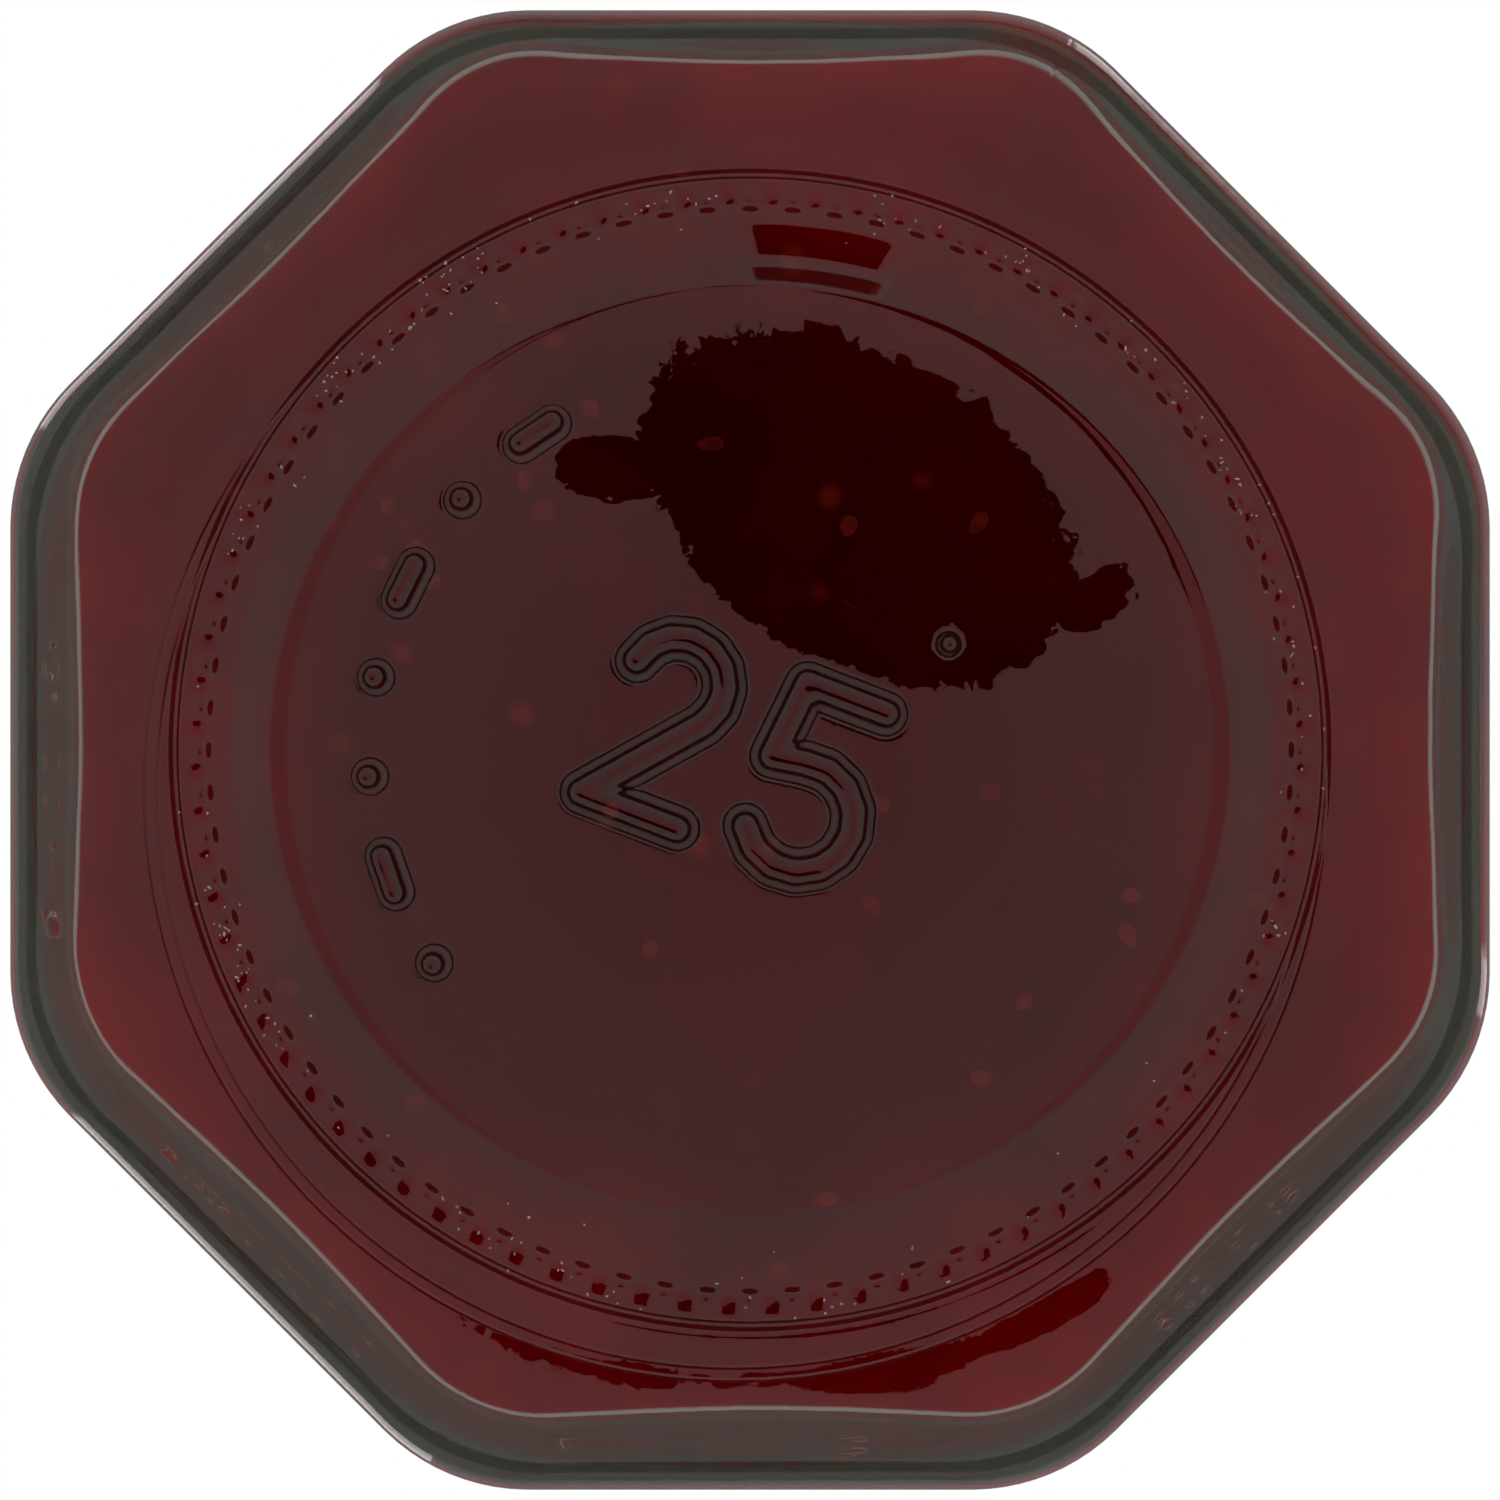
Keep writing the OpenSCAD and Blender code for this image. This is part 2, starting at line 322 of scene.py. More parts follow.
strokes = [placed(two, -numeral_step / 2), placed(five, numeral_step / 2)]
pip_row_radius = 18 * MM
pip_half = 0.8 * MM
pip_out = 0.36 * MM
bar_half = 0.9 * MM
drop_place = Vector((9.4 * MM, -5.0 * MM))
marks = [(stroke, stroke_half, mark_out) for stroke in strokes]
for i, is_bar in enumerate((0, 1, 0, 0, 1, 0, 1)):
    angle = math.radians(146 + 15 * i)
    middle = Vector((math.cos(angle), math.sin(angle))) * pip_row_radius
    side = Vector((-math.sin(angle), math.cos(angle))) * (bar_half * is_bar)
    marks.append(([middle - side, middle + side], pip_half, pip_out))
marks.append(([drop_place] * 2, 0.57 * MM, 0.22 * MM))

longest_stroke = 12 * MM


def distance_to(points, place):
    best = 1.0
    for a, b in zip(points, points[1:]):
        way = b - a
        t = 0 if way.length_squared == 0 else max(0, min(1, (place - a).dot(way) / way.length_squared))
        best = min(best, (place - a - way * t).length)
    return best


def marked_height(place):
    """The dish with its marks: round on top, and running out into the dish."""
    height = dish_height(place.length)
    for points, half, out in marks:
        if (place - points[0]).length < longest_stroke:
            share = distance_to(points, place) / half
            if share < 0.85:
                height -= out * math.sqrt(max(1 - share * share, 0))
            elif share < 1.25:
                height -= out * (0.527 * ((1.25 - share) / 0.4) ** 2)
    return height


def make_foot():
    foot = extrude_rows("glass_jar_foot", foot_section, FOOT_COLUMNS, foot_point)
    bpy.ops.object.mode_set(mode="EDIT")
    bpy.ops.mesh.fill_grid(span=FOOT_COLUMNS // 4)
    bpy.ops.mesh.select_all(action="DESELECT")
    bpy.ops.object.mode_set(mode="OBJECT")
    mesh = foot.data
    for polygon in mesh.polygons:
        place = Vector(polygon.center[:2])
        polygon.select = any(distance_to(points, place) < half * 1.5 for points, half, out in marks
                             if (place - points[0]).length < longest_stroke)
    bpy.ops.object.mode_set(mode="EDIT")
    bpy.ops.mesh.select_mode(type="FACE")
    bpy.ops.mesh.subdivide(number_cuts=1)
    bpy.ops.object.mode_set(mode="OBJECT")
    for vertex in mesh.vertices:
        place = Vector(vertex.co[:2])
        if place.length < dish_radius - 0.02 * MM:
            vertex.co.z = marked_height(place)
    return foot


jar = extrude_rows("glass_jar_shape", outside_rows + hollow_rows(), WALL_COLUMNS, glass_point)
bpy.ops.object.mode_set(mode="EDIT")
bpy.ops.mesh.edge_face_add()
bpy.ops.mesh.poke()
bpy.ops.object.mode_set(mode="OBJECT")
foot = make_foot()
nothing_selected()
jar.select_set(True)
foot.select_set(True)
bpy.context.view_layer.objects.active = jar
bpy.ops.object.join()
bpy.ops.object.mode_set(mode="EDIT")
bpy.ops.mesh.select_mode(type="EDGE")
bpy.ops.mesh.select_all(action="DESELECT")
bpy.ops.mesh.select_non_manifold()
bpy.ops.mesh.bridge_edge_loops()
bpy.ops.mesh.select_all(action="SELECT")
bpy.ops.mesh.normals_make_consistent(inside=False)
bpy.ops.object.mode_set(mode="OBJECT")
bpy.ops.object.shade_smooth()
jar.name = "glass_jar_shape"


def new_material(name):
    material = bpy.data.materials.new(name)
    material.use_nodes = True
    material.node_tree.nodes.clear()
    output = material.node_tree.nodes.new("ShaderNodeOutputMaterial")
    return material, material.node_tree, output


def add_node(tree, kind, **values):
    """A node with its settings, and its input sockets by name (spaces written as underscores)."""
    node = tree.nodes.new(kind)
    for key, value in values.items():
        socket = node.inputs.get(key.replace("_", " "))
        if socket is not None and not hasattr(type(node), key):
            if isinstance(value, bpy.types.NodeSocket):
                tree.links.new(value, socket)
            else:
                socket.default_value = value
        else:
            setattr(node, key, value)
    return node


def math_node(tree, operation, first, second=0.0, third=None, clamp=False):
    node = tree.nodes.new("ShaderNodeMath")
    node.operation = operation
    node.use_clamp = clamp
    for socket, value in zip(node.inputs, (first, second, third)):
        if isinstance(value, bpy.types.NodeSocket):
            tree.links.new(value, socket)
        elif value is not None:
            socket.default_value = value
    return node.outputs[0]


def ramp_node(tree, factor, stops, interpolation="LINEAR"):
    node = tree.nodes.new("ShaderNodeValToRGB")
    node.color_ramp.interpolation = interpolation
    while len(node.color_ramp.elements) < len(stops):
        node.color_ramp.elements.new(0.5)
    for element, (position, colour) in zip(node.color_ramp.elements, stops):
        element.position = position
        element.color = (*colour, 1) if hasattr(colour, "__len__") else (colour,) * 3 + (1,)
    tree.links.new(factor, node.inputs[0])
    return node.outputs[0]


seam_angle = math.radians(114.2)
baffle_middle = (-0.7 * MM, 1.9 * MM)
baffle_radius = 27.5 * MM
baffle_gap = 0.3 * MM
baffle_width = 0.12 * MM
baffle_height = 4.2e-5
seam_width = 0.16 * MM
seam_height = 1.4e-5
ripple_height = 1.0e-6


def make_glass():
    material, tree, output = new_material("clear_flint_glass")
    place = add_node(tree, "ShaderNodeTexCoord").outputs["Object"]
    split = add_node(tree, "ShaderNodeSeparateXYZ", Vector=place)
    x, y, z = split.outputs
    # Ripples left by the cold mould, a little stronger outside the foot plate.
    coarse = add_node(tree, "ShaderNodeTexNoise", Vector=place, Scale=230, Detail=1.5, Roughness=0.55)
    fine = add_node(tree, "ShaderNodeTexNoise", Vector=place, Scale=950, Detail=1, Roughness=0.5)
    long = add_node(tree, "ShaderNodeTexNoise", Vector=place, Scale=60, Detail=1)
    radius = math_node(tree, "SQRT", math_node(tree, "ADD", math_node(tree, "MULTIPLY", x, x),
                                               math_node(tree, "MULTIPLY", y, y)))
    outside = math_node(tree, "GREATER_THAN", radius, plate_radius)
    strength = math_node(tree, "MULTIPLY_ADD", outside, 1.8, 1.0)
    low = math_node(tree, "LESS_THAN", z, 2 * MM)
    patchy = ramp_node(tree, long.outputs[0], [(0.42, 0.25), (0.58, 1.0)])
    patchy = math_node(tree, "MULTIPLY", patchy, math_node(tree, "MULTIPLY_ADD", low, 0.94, 0.06))
    fine_waves = math_node(tree, "MULTIPLY", fine.outputs[0], math_node(tree, "MULTIPLY", patchy, 2.6))
    waves = math_node(tree, "MULTIPLY_ADD", coarse.outputs[0], 2.5, fine_waves)
    waves = math_node(tree, "MULTIPLY_ADD", long.outputs[0], 9.0, waves)
    ripple = math_node(tree, "MULTIPLY", math_node(tree, "MULTIPLY", waves, strength), ripple_height)
    # The two upright mould seams, and the double line of the baffle across the foot.
    across = math_node(tree, "ABSOLUTE", math_node(
        tree, "SUBTRACT", math_node(tree, "MULTIPLY", x, math.sin(seam_angle)),
        math_node(tree, "MULTIPLY", y, math.cos(seam_angle))))
    seam = math_node(tree, "SUBTRACT", 1.0, math_node(tree, "DIVIDE", across, seam_width), clamp=True)
    seam = math_node(tree, "MULTIPLY", seam, outside)
    off_x = math_node(tree, "SUBTRACT", x, baffle_middle[0])
    off_y = math_node(tree, "SUBTRACT", y, baffle_middle[1])
    off = math_node(tree, "SQRT", math_node(tree, "ADD", math_node(tree, "MULTIPLY", off_x, off_x),
                                            math_node(tree, "MULTIPLY", off_y, off_y)))
    off = math_node(tree, "ABSOLUTE", math_node(tree, "SUBTRACT", off, baffle_radius))
    off = math_node(tree, "ABSOLUTE", math_node(tree, "SUBTRACT", off, baffle_gap))
    baffle = math_node(tree, "SUBTRACT", 1.0, math_node(tree, "DIVIDE", off, baffle_width), clamp=True)
    baffle = math_node(tree, "MULTIPLY", math_node(tree, "MULTIPLY", baffle, low), outside)
    lines = math_node(tree, "MULTIPLY_ADD", seam, seam_height,
                      math_node(tree, "MULTIPLY", baffle, baffle_height))
    height = math_node(tree, "ADD", ripple, lines)
    bump = add_node(tree, "ShaderNodeBump", Strength=1.0, Distance=1.0, Height=height)
    shader = add_node(tree, "ShaderNodeBsdfPrincipled", Roughness=0.0, IOR=1.52, Transmission_Weight=1.0,
                      Base_Color=(1, 1, 1, 1), Normal=bump.outputs[0])
    tint = add_node(tree, "ShaderNodeVolumeAbsorption", Color=(0.78, 0.88, 0.80, 1), Density=14.0)
    tree.links.new(shader.outputs[0], output.inputs["Surface"])
    tree.links.new(tint.outputs[0], output.inputs["Volume"])
    return material


finish_piece(jar, "glass", make_glass(), "glass_jar")

# ---------------------------------------------------------------------------------------------
# Jam. Dark red berry jam, boiled with its seeds and poured in hot, so that it fills the hollow
# up to a level in the neck and clings to the glass. It reaches just into the wall.
# ---------------------------------------------------------------------------------------------
jam_top = Vector(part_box("jam")[1]).z
jam_reach = 0.12 * MM


def jam_rows():
    neck = hollow_rows()[0]
    rows = [row for row in reversed(hollow_rows()) if row[0] < jam_top - 2 * MM]
    level = jam_top - jam_reach
    rows += [(level - 1.5 * MM, *neck[1:]), (level, *neck[1:])]
    rows += [(level - 0.25 * MM * (1 - s) - 0.2 * MM * (1 - s * s), *neck[1:6], s)
             for s in (0.985, 0.96, 0.92, 0.85, 0.7, 0.5, 0.25, 0.05)]
    return rows


jam = extrude_rows("jam_filling", jam_rows(), WALL_COLUMNS, hollow_point)
bpy.ops.object.mode_set(mode="EDIT")
bpy.ops.mesh.select_all(action="DESELECT")
bpy.ops.mesh.select_mode(type="EDGE")
bpy.ops.mesh.select_non_manifold()
bpy.ops.mesh.edge_face_add()
bpy.ops.mesh.select_all(action="SELECT")
bpy.ops.mesh.normals_make_consistent(inside=False)
bpy.ops.transform.shrink_fatten(value=jam_reach)
bpy.ops.object.mode_set(mode="OBJECT")
bpy.ops.object.shade_smooth()


def under_glass(tree, flesh, output):
    """What lies against the glass shows its colour; at grazing angles the wall turns back light that runs
    along it, shown as half a mirror and half an olive haze, which is painted light.
    """
    mirror = add_node(tree, "ShaderNodeBsdfGlossy", Roughness=0.02, Color=(0.80, 0.82, 0.76, 1))
    # The olive haze is painted light: a flat colour that stands in for the greenish light running along the
    # glass wall.
    painted_wall_glow = add_node(tree, "ShaderNodeBsdfPrincipled", Roughness=0.6, Specular_IOR_Level=0.0,
                    Base_Color=(0.115, 0.115, 0.098, 1))
    turned = add_node(tree, "ShaderNodeMixShader", Fac=0.5)
    tree.links.new(mirror.outputs[0], turned.inputs[1])
    tree.links.new(painted_wall_glow.outputs[0], turned.inputs[2])
    facing = add_node(tree, "ShaderNodeLayerWeight", Blend=0.5).outputs["Facing"]
    skin = ramp_node(tree, facing, [(0.47, 0.0), (0.54, 1.0)])
    mix = add_node(tree, "ShaderNodeMixShader", Fac=skin)
    tree.links.new(flesh.outputs[0], mix.inputs[1])
    tree.links.new(turned.outputs[0], mix.inputs[2])
    tree.links.new(mix.outputs[0], output.inputs["Surface"])


def make_jam():
    material, tree, output = new_material("berry_jam")
    place = add_node(tree, "ShaderNodeTexCoord").outputs["Object"]
    cloud = add_node(tree, "ShaderNodeTexNoise", Vector=place, Scale=110, Detail=3, Roughness=0.6)
    split = add_node(tree, "ShaderNodeSeparateXYZ", Vector=place)
    x, y, z = split.outputs
    radius = math_node(tree, "SQRT", math_node(tree, "ADD", math_node(tree, "MULTIPLY", x, x),
                                               math_node(tree, "MULTIPLY", y, y)))
    # Painted shade and painted light: the jam's colour is darker in the middle, where little light reaches
    # it, and lighter towards the walls, where light comes in through them.
    depth = math_node(tree, "DIVIDE", radius, half_flats)
    body = ramp_node(tree, depth, [(0.0, (0.048, 0.0002, 0.0004)), (0.55, (0.056, 0.0002, 0.0004)),
                                   (0.72, (0.135, 0.0008, 0.0012)), (0.95, (0.190, 0.0012, 0.0016))])
    patch = ramp_node(tree, cloud.outputs[0], [(0.35, 0.75), (0.65, 1.3)])
    shade = add_node(tree, "ShaderNodeMix", data_type="RGBA", blend_type="MULTIPLY")
    shade.inputs[0].default_value = 1.0
    tree.links.new(body, shade.inputs[6])
    tree.links.new(patch, shade.inputs[7])
    cells = add_node(tree, "ShaderNodeTexVoronoi", Vector=place, Scale=215, Randomness=1.0)
    spot = ramp_node(tree, cells.outputs["Distance"], [(0.04, 0.8), (0.18, 0.0)], "EASE")
    glow = add_node(tree, "ShaderNodeMix", data_type="RGBA", blend_type="MIX")
    glow.inputs[7].default_value = (0.20, 0.012, 0.004, 1)
    tree.links.new(spot, glow.inputs[0])
    tree.links.new(shade.outputs[2], glow.inputs[6])
    flesh = add_node(tree, "ShaderNodeBsdfPrincipled", Roughness=0.5, Specular_IOR_Level=0.0,
                     Base_Color=glow.outputs[2])
    under_glass(tree, flesh, output)
    return material


finish_piece(jam, "jam", make_jam(), "jam")

# ---------------------------------------------------------------------------------------------
# Seeds. Small berry seeds boiled with the jam, orange red where they lie against the glass: some
# on the floor of the hollow, and more along its walls, sunk in the jam but for their outer side.
# ---------------------------------------------------------------------------------------------
chance = random.Random(7)
seed_size = (0.92 * MM, 0.56 * MM, 0.44 * MM)
seed_sunk = 0.17 * MM
floor_seeds = 22
wall_seeds = 130


def joined_copies(name, model, places):
    """One piece of many copies of a model, each at its (place, turn, size)."""
    copies = []
    for place, turn, size in places:
        copy = model.copy()
        copy.data = model.data.copy()
        bpy.context.collection.objects.link(copy)
        copy.location = place
        copy.rotation_euler = turn
        copy.scale = size
        copies.append(copy)
    nothing_selected()
    bpy.data.objects.remove(model)
    for copy in copies:
        copy.select_set(True)
    bpy.context.view_layer.objects.active = copies[0]
    bpy.ops.object.join()
    copies[0].name = name
    return copies[0]


def seed_places():
    places = []
    for i in range(floor_seeds):
        angle = chance.uniform(0, 2 * math.pi)
        radius = 27.5 * MM * math.sqrt(chance.random())
        places.append((Vector((radius * math.cos(angle), radius * math.sin(angle), floor_z + seed_sunk)),
                       (0, 0, chance.uniform(0, math.pi))))
    walls = [row for row in hollow_rows() if 30 * MM < row[0] < 69 * MM]
    for i in range(wall_seeds):
        angle = chance.uniform(0, 2 * math.pi)
        first = chance.randrange(len(walls) - 1)
        share = chance.random()
        row = [a + (b - a) * share for a, b in zip(walls[first], walls[first + 1])]
        tilt = math.pi / 2 + chance.uniform(-0.1, 0.1)
        turn = (tilt, chance.uniform(0, math.pi), angle + math.pi / 2)
        places.append((hollow_point(row, angle, seed_sunk), turn))
    return [(place, turn, (chance.uniform(0.75, 1.05), chance.uniform(0.9, 1.15), 1))
            for place, turn in places]


nothing_selected()
bpy.ops.mesh.primitive_uv_sphere_add(segments=10, ring_count=6, radius=1, location=(0, 0, 0))
seed = bpy.context.object
bpy.ops.object.mode_set(mode="EDIT")
bpy.ops.transform.resize(value=seed_size, center_override=(0, 0, 0))
bpy.ops.object.mode_set(mode="OBJECT")
for vertex in seed.data.vertices:
    vertex.co.y *= 1 - 0.28 * vertex.co.x / seed_size[0]
bpy.ops.object.shade_smooth()
seeds = joined_copies("jam_seeds", seed, seed_places())


def make_seed():
    material, tree, output = new_material("seed_in_jam")
    place = add_node(tree, "ShaderNodeTexCoord").outputs["Object"]
    mottle = add_node(tree, "ShaderNodeTexNoise", Vector=place, Scale=900, Detail=2)
    # Painted shade on the floor, where the seeds lie under more glass and show darker and redder, and
    # painted light from 20 mm up, where they show paler.
    shaded_floor_seeds = ramp_node(tree, mottle.outputs[0], [(0.35, (0.09, 0.003, 0.003)), (0.65, (0.16, 0.008, 0.006))])
    lit_wall_seeds = ramp_node(tree, mottle.outputs[0], [(0.35, (0.15, 0.008, 0.005)), (0.65, (0.26, 0.030, 0.013))])
    height = add_node(tree, "ShaderNodeSeparateXYZ", Vector=place).outputs["Z"]
    mixed = add_node(tree, "ShaderNodeMix", data_type="RGBA")
    tree.links.new(math_node(tree, "DIVIDE", height, 20 * MM, clamp=True), mixed.inputs[0])
    tree.links.new(shaded_floor_seeds, mixed.inputs[6])
    tree.links.new(lit_wall_seeds, mixed.inputs[7])
    coat = add_node(tree, "ShaderNodeBsdfPrincipled", Base_Color=mixed.outputs[2], Roughness=0.6,
                    Specular_IOR_Level=0.0)
    under_glass(tree, coat, output)
    return material


finish_piece(seeds, "jam", make_seed())

# ---------------------------------------------------------------------------------------------
# Dust. Pale grit and short bits of lint picked up from a shelf, stuck to the ring that the jar
# stands on, in loose clusters and as single grains.
# ---------------------------------------------------------------------------------------------
# Clusters of grains, as (degrees round the ring, half their number).
dust_clusters = [(237, 9), (223, 8), (205, 5), (160, 8), (152, 6), (117, 5), (108, 4), (330, 7), (316, 6),
                 (300, 5), (345, 4), (20, 3), (262, 5), (285, 4), (80, 3)]
single_grains = 60
ring_reach = 27.05
section_by_radius = sorted(foot_section)


def foot_height(radius):
    for (r0, z0), (r1, z1) in zip(section_by_radius, section_by_radius[1:]):
        if r0 <= radius <= r1:
            return z0 + (z1 - z0) * (radius - r0) / (r1 - r0)
    return dish_height(radius)


def dust_places():
    places = []
    for degrees, count in dust_clusters:
        for i in range(count * 2):
            angle = math.radians(degrees + chance.gauss(0, 3.2))
            places.append((angle, min(ring_reach, max(24.7, chance.gauss(26.2, 0.45))) * MM))
    for i in range(single_grains):
        angle = chance.uniform(0, 2 * math.pi)
        places.append((angle, min(ring_reach, max(22.2, chance.gauss(25.9, 1.1))) * MM))
    return [(Vector((radius * math.cos(angle), radius * math.sin(angle), foot_height(radius))),
             (chance.uniform(0, 3), chance.uniform(0, 3), chance.uniform(0, 3)),
             (chance.uniform(0.45, 1.0) ** 3 * 0.19 * MM, chance.uniform(0.5, 1.0) * 0.085 * MM, 0.05 * MM))
            for angle, radius in places]


nothing_selected()
bpy.ops.mesh.primitive_ico_sphere_add(subdivisions=1, radius=1, location=(0, 0, 0))
grain = bpy.context.object
bpy.ops.object.mode_set(mode="EDIT")
bpy.ops.transform.vertex_random(offset=0.35, seed=3)
bpy.ops.object.mode_set(mode="OBJECT")
dust = joined_copies("dust_grains", grain, dust_places())


def make_dust():
    material, tree, output = new_material("pale_dust")
    place = add_node(tree, "ShaderNodeTexCoord").outputs["Object"]
    mottle = add_node(tree, "ShaderNodeTexNoise", Vector=place, Scale=1500, Detail=1)
    colour = ramp_node(tree, mottle.outputs[0], [(0.35, (0.36, 0.28, 0.26)), (0.65, (0.66, 0.57, 0.54))])
    shader = add_node(tree, "ShaderNodeBsdfPrincipled", Base_Color=colour, Roughness=0.9,
                      Specular_IOR_Level=0.2)
    tree.links.new(shader.outputs[0], output.inputs["Surface"])
    return material


finish_piece(dust, "glass", make_dust())

# ---------------------------------------------------------------------------------------------
# Lid. A plain twist-off cap pressed from tinplate with gold lacquer: safety button, sunk panel,
# flat rim over the glass, skirt with a rolled edge, and four lugs pressed in from the roll.
# ---------------------------------------------------------------------------------------------
lid_box = [Vector(corner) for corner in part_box("lid")]
lid_top = lid_box[1].z
lid_low = lid_box[0].z
lid_sheet = 0.4
skirt = 32.2
curl = 1.0
lid_depth = (lid_top - lid_low) / MM
lid_columns = 256


def lid_section():
    """(radius, height under the top) in mm, over the outside and back along the inside."""
    top = [(0.2, -0.50), (3, -0.50), (5.5, -0.52), (6.8, -0.58)]
    top += curve([(6.8, -0.58), (7.8, -0.64), (7.8, -1.1), (8.8, -1.1)], 6) + [(10, -1.1), (14, -1.1)]
    top += curve([(17, -1.1), (17.6, -1.1), (17.6, -0.86), (18.2, -0.86)], 5)
    top += curve([(18.8, -0.86), (19.4, -0.86), (19.4, -1.1), (20, -1.1)], 5) + [(22, -1.1), (24.2, -1.1)]
    top += curve([(24.2, -1.1), (25.3, -1.1), (25.1, 0), (26.3, 0)], 9) + [(27, 0), (28.5, 0), (30, 0)]
    top += curve([(30.4, 0), (31.6, 0), (skirt, -0.6), (skirt, -1.8)], 9)
    top += [(skirt, -2.4), (skirt, -4.2), (skirt, -6.0), (skirt, -7.6)]
    top += curve([(skirt, -7.6), (skirt, -8.3), (skirt, 0.5 - lid_depth + 2 * curl - 0.62),
                  (skirt + 0.25, -lid_depth + 2 * curl - 0.03)], 4)
    roll = [(skirt + curl * math.sin(t), curl - lid_depth + curl * math.cos(t))
            for t in [math.radians(14 + 15 * i) for i in range(1, 19)]]
    inside = skirt - lid_sheet
    inner = [(inside - 0.02, curl - lid_depth + 0.55), (inside, -7.2), (inside, -4), (inside, -2.2)]
    inner += curve([(inside, -2.0), (inside, -0.9), (31.2, -lid_sheet), (30.2, -lid_sheet)], 5)
    inner += [(28, -lid_sheet), (26.6, -lid_sheet)]
    inner += curve([(26.6, -lid_sheet), (25.6, -lid_sheet), (25.8, -1.5), (24.2, -1.5)], 5)
    inner += [(16, -1.5), (8.6, -1.5), (6.8, -0.98), (3, -0.9), (0.2, -0.9)]
    return [(r * MM, lid_top + z * MM) for r, z in top + roll + inner]


lug_press = 0.62 * MM


def lid_point(row, angle):
    """Places the skin, with the roll pressed in at each lug."""
    radius, z = row
    step = 2 * math.pi / lug_count
    off = abs((angle - lug_sweep / 2 + step / 2) % step - step / 2)
    press = max(0, min(1, (math.radians(9) - off) / math.radians(2.5)))
    press = press * press * (3 - 2 * press)
    roll_top = lid_low + 2.1 * curl * MM
    if z < roll_top:
        radius -= lug_press * press * min(1, (roll_top - z) / (0.8 * MM))
    return Vector((radius * math.cos(angle), radius * math.sin(angle), z))


lid = extrude_rows("lid_cap", lid_section(), lid_columns, lid_point)
bpy.ops.object.mode_set(mode="EDIT")
bpy.ops.mesh.select_all(action="DESELECT")
bpy.ops.mesh.select_mode(type="EDGE")
bpy.ops.mesh.select_non_manifold()
bpy.ops.mesh.edge_face_add()
bpy.ops.mesh.select_all(action="SELECT")
bpy.ops.mesh.normals_make_consistent(inside=False)
bpy.ops.object.mode_set(mode="OBJECT")
bpy.ops.object.shade_smooth_by_angle(angle=math.radians(50))


def make_lacquer():
    material, tree, output = new_material("gold_lacquer")
    place = add_node(tree, "ShaderNodeTexCoord").outputs["Object"]
    mottle = add_node(tree, "ShaderNodeTexNoise", Vector=place, Scale=140, Detail=4)
    rubbed = add_node(tree, "ShaderNodeTexNoise", Vector=place, Scale=420, Detail=3)
    colour = ramp_node(tree, mottle.outputs[0], [(0.3, (0.70, 0.49, 0.20)), (0.7, (0.74, 0.53, 0.23))])
    rough = ramp_node(tree, rubbed.outputs[0], [(0.35, 0.19), (0.7, 0.27)])
    grain = add_node(tree, "ShaderNodeBump", Strength=0.3, Distance=0.000008, Height=rubbed.outputs[0])
    shader = add_node(tree, "ShaderNodeBsdfPrincipled", Metallic=1.0, Base_Color=colour, Roughness=rough,
                      Coat_Weight=0.6, Coat_Roughness=0.05, Normal=grain.outputs[0])
    tree.links.new(shader.outputs[0], output.inputs["Surface"])
    return material


finish_piece(lid, "lid_metal", make_lacquer(), "lid")

# ---------------------------------------------------------------------------------------------
# Studio. A pale floor, clear from below, that shows to the camera and in the gloss of the sides, but
# not in that of the foot, so it neither hides nor darkens the jar; and a white surround with soft
# boxes, a dark band low down, and a warm, patchy place straight under the jar.
# ---------------------------------------------------------------------------------------------
floor_size = 6
clear_radius = 38 * MM
nothing_selected()
bpy.ops.mesh.primitive_plane_add(size=floor_size, location=(0, 0, 0))
floor = bpy.context.object
floor.name = "floor"
for flag in ("visible_diffuse", "visible_transmission", "visible_shadow"):
    setattr(floor, flag, False)
floor_material, tree, output = new_material("pale_floor")
top_side = add_node(tree, "ShaderNodeBsdfDiffuse", Color=(0.78, 0.77, 0.75, 1))
under_side = add_node(tree, "ShaderNodeBsdfTransparent")
from_jar = add_node(tree, "ShaderNodeVectorMath", operation="LENGTH")
tree.links.new(add_node(tree, "ShaderNodeTexCoord").outputs["Object"], from_jar.inputs[0])
under_jar = math_node(tree, "LESS_THAN", from_jar.outputs["Value"], clear_radius)
camera_ray = add_node(tree, "ShaderNodeLightPath").outputs["Is Camera Ray"]
under_jar = math_node(tree, "SUBTRACT", under_jar, camera_ray, clamp=True)
backfacing = add_node(tree, "ShaderNodeNewGeometry").outputs["Backfacing"]
sides = add_node(tree, "ShaderNodeMixShader", Fac=math_node(tree, "MAXIMUM", under_jar, backfacing))
tree.links.new(top_side.outputs[0], sides.inputs[1])
tree.links.new(under_side.outputs[0], sides.inputs[2])
tree.links.new(sides.outputs[0], output.inputs["Surface"])
floor.data.materials.append(floor_material)

world = bpy.data.worlds.new("studio")
bpy.context.scene.world = world
world.use_nodes = True
tree = world.node_tree
tree.nodes.clear()
way = add_node(tree, "ShaderNodeTexCoord").outputs["Generated"]
split = add_node(tree, "ShaderNodeSeparateXYZ", Vector=way)
x, y, z = split.outputs
level = math_node(tree, "MULTIPLY_ADD", z, 0.5, 0.5)
surround = ramp_node(tree, level, [(0.0, 0.72), (0.075, 0.72), (0.085, 0.05), (0.19, 0.05),
                                   (0.22, (0.56, 0.46, 0.44)), (0.5, (0.92, 0.90, 0.89)), (0.8, 0.85),
                                   (0.93, 0.36), (1.0, 0.30)])
turn = math_node(tree, "ARCTAN2", y, x)

box_edge = 0.03
box_light = (4.0, 4.0, 3.9, 1)


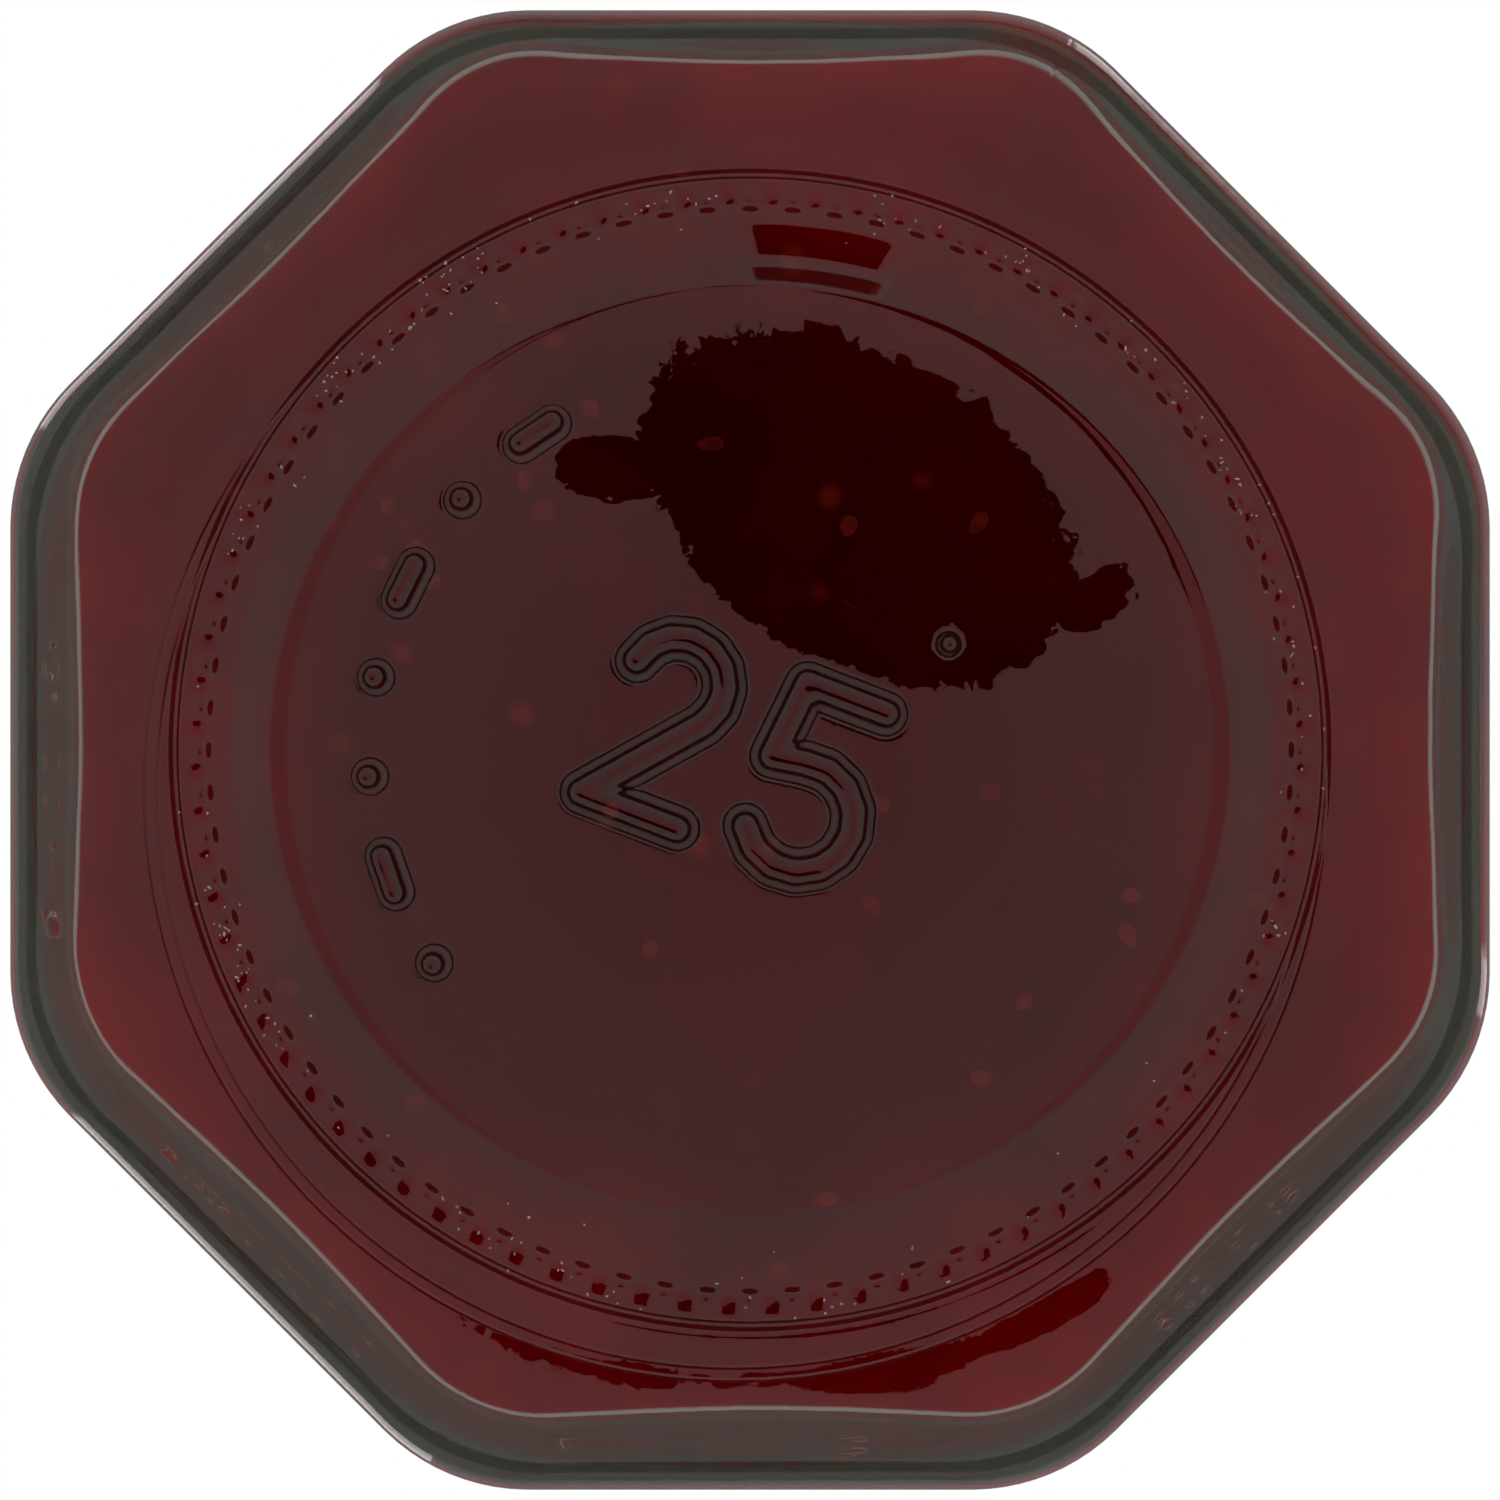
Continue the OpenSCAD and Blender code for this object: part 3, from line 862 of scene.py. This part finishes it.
def soft_box(middle, half, low, high):
    """A tall soft box beside the jar: its middle and half width in degrees, and its low and high end."""
    off = math_node(tree, "ABSOLUTE", math_node(tree, "SUBTRACT", turn, math.radians(middle)))
    wide = math_node(tree, "DIVIDE", math_node(tree, "SUBTRACT", math.radians(half), off), box_edge,
                     clamp=True)
    over = math_node(tree, "DIVIDE", math_node(tree, "SUBTRACT", z, low), box_edge, clamp=True)
    under = math_node(tree, "DIVIDE", math_node(tree, "SUBTRACT", high, z), box_edge, clamp=True)
    return math_node(tree, "MULTIPLY", wide, math_node(tree, "MULTIPLY", over, under))


boxes = math_node(tree, "ADD", soft_box(128, 11, 0.02, 0.70), soft_box(-53, 8, 0.02, 0.70))
boxes = math_node(tree, "ADD", boxes, soft_box(8, 7, 0.02, 0.66))
boxes = math_node(tree, "ADD", boxes, soft_box(-142, 10, 0.02, 0.70))
# Slopes from straight down, along x and y.
drop = math_node(tree, "MAXIMUM", math_node(tree, "MULTIPLY", z, -1.0), 0.001)
side_x = math_node(tree, "DIVIDE", x, drop)
side_y = math_node(tree, "DIVIDE", y, drop)
reach = math_node(tree, "SQRT", math_node(tree, "ADD", math_node(tree, "MULTIPLY", side_x, side_x),
                                          math_node(tree, "MULTIPLY", side_y, side_y)))
warm_reach = 0.5
warm = ramp_node(tree, reach, [(0.06, (0.98, 0.37, 0.38)), (0.14, (1.0, 0.46, 0.48)),
                               (0.26, (0.92, 0.54, 0.55)), (warm_reach, (0.72, 0.70, 0.70))])
below = math_node(tree, "LESS_THAN", z, -0.5)
near = math_node(tree, "MULTIPLY", math_node(tree, "LESS_THAN", reach, warm_reach), below)
base = add_node(tree, "ShaderNodeMix", data_type="RGBA")
tree.links.new(near, base.inputs[0])
tree.links.new(surround, base.inputs[6])
tree.links.new(warm, base.inputs[7])
boxed = add_node(tree, "ShaderNodeMix", data_type="RGBA")
boxed.inputs[7].default_value = box_light
tree.links.new(boxes, boxed.inputs[0])
tree.links.new(base.outputs[2], boxed.inputs[6])
flat_way = add_node(tree, "ShaderNodeCombineXYZ", X=side_x, Y=side_y)
rag = add_node(tree, "ShaderNodeTexNoise", Vector=flat_way.outputs[0], Scale=34, Detail=5, Roughness=0.74)


def dark_spot(middle, size, turn, rough=0.5):
    """A dark patch under the jar, as an ellipse with ragged edges; its place and size are slopes."""
    turn = math.radians(turn)
    go_x = math_node(tree, "SUBTRACT", side_x, middle[0])
    go_y = math_node(tree, "SUBTRACT", side_y, middle[1])
    far_x = math_node(tree, "ADD", math_node(tree, "MULTIPLY", go_x, math.cos(turn) / size[0]),
                      math_node(tree, "MULTIPLY", go_y, math.sin(turn) / size[0]))
    far_y = math_node(tree, "SUBTRACT", math_node(tree, "MULTIPLY", go_y, math.cos(turn) / size[1]),
                      math_node(tree, "MULTIPLY", go_x, math.sin(turn) / size[1]))
    far = math_node(tree, "ADD", math_node(tree, "MULTIPLY", far_x, far_x),
                    math_node(tree, "MULTIPLY", far_y, far_y))
    far = math_node(tree, "MULTIPLY_ADD", rag.outputs[0], rough, far)
    return math_node(tree, "MULTIPLY", math_node(tree, "LESS_THAN", far, 1 + rough / 2), below)


dark = math_node(tree, "MAXIMUM", dark_spot((-0.050, 0.113), (0.108, 0.071), 32, 1.1),
                 dark_spot((-0.160, 0.070), (0.022, 0.012), -35, 1.3))
dark = math_node(tree, "MAXIMUM", dark, dark_spot((0.064, 0.130), (0.030, 0.015), 10, 1.4))
lit = add_node(tree, "ShaderNodeMix", data_type="RGBA")
lit.inputs[7].default_value = (0.0, 0.0, 0.0, 1)
tree.links.new(dark, lit.inputs[0])
tree.links.new(boxed.outputs[2], lit.inputs[6])
# The camera sees plain white behind the jar.
seen = add_node(tree, "ShaderNodeMix", data_type="RGBA")
seen.inputs[7].default_value = (1, 1, 1, 1)
tree.links.new(add_node(tree, "ShaderNodeLightPath").outputs["Is Camera Ray"], seen.inputs[0])
tree.links.new(lit.outputs[2], seen.inputs[6])
background = add_node(tree, "ShaderNodeBackground", Strength=1.0)
tree.links.new(seen.outputs[2], background.inputs[0])
world_output = add_node(tree, "ShaderNodeOutputWorld")
tree.links.new(background.outputs[0], world_output.inputs[0])

bpy.context.scene.view_settings.view_transform = "Standard"
